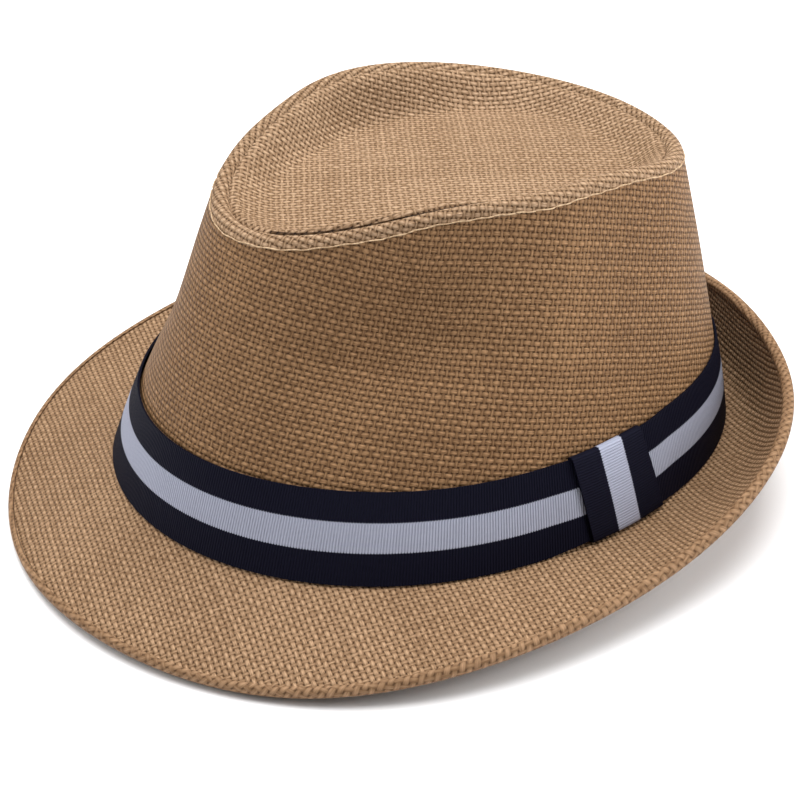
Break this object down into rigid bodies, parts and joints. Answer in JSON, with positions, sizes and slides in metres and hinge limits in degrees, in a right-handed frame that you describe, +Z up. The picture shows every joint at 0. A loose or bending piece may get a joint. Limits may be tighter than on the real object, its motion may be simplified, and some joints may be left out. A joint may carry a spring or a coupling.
{
  "type": "fedora hat",
  "caption": "Short-brim fedora of woven paper straw with a teardrop dent, pinched front, brim turned up at the back and a striped ribbon band with a keeper tab.",
  "frame": {"origin": "on the table, below the middle of the brim's outline, where the hat stands on its front brim and the root of its back brim", "axes": "+Z up, -Y towards the hat's front, +X towards the wearer's left"},
  "size_m": [0.237, 0.2495, 0.1089],
  "materials": {
    "paper_straw": "open plain weave of twisted paper yarn, satin",
    "paper_straw_under": "open plain weave of twisted paper yarn, satin",
    "binding_tape": "matte twill tape",
    "stiffener": "matte stiffened mesh",
    "straw_thread": "satin sewing thread",
    "spring_wire": "drawn",
    "sweatband_twill": "matte twill",
    "label_cloth": "matte woven",
    "grosgrain": "ribbed satin, navy with a pale middle stripe",
    "navy_thread": "satin sewing thread"
  },
  "bodies": {
    "hat_body": {"crown_side": "paper_straw", "crown_tip": "paper_straw", "tip_seam_tape": "binding_tape", "tip_topstitch": "straw_thread", "crown_back_seam": "binding_tape", "brim_top_ply": "paper_straw", "brim_interlining": "stiffener", "brim_under_ply": "paper_straw_under", "brim_edge_wire": "spring_wire", "brim_edge_fold": "paper_straw", "base_seam_stitch": "straw_thread", "sweatband": "sweatband_twill", "sweatband_stitch": "straw_thread", "sweatband_join": "binding_tape", "size_label": "label_cloth"},
    "hatband": {"hatband_ribbon": "grosgrain", "ribbon_tab": "grosgrain", "tab_tack": "navy_thread"}
  },
  "joints": [
    {"name": "hatband_lift", "type": "slide", "parent": "hat_body", "child": "hatband", "axis": [0, 0.0632, 0.998], "range_m": [0, 0.12]}
  ]
}
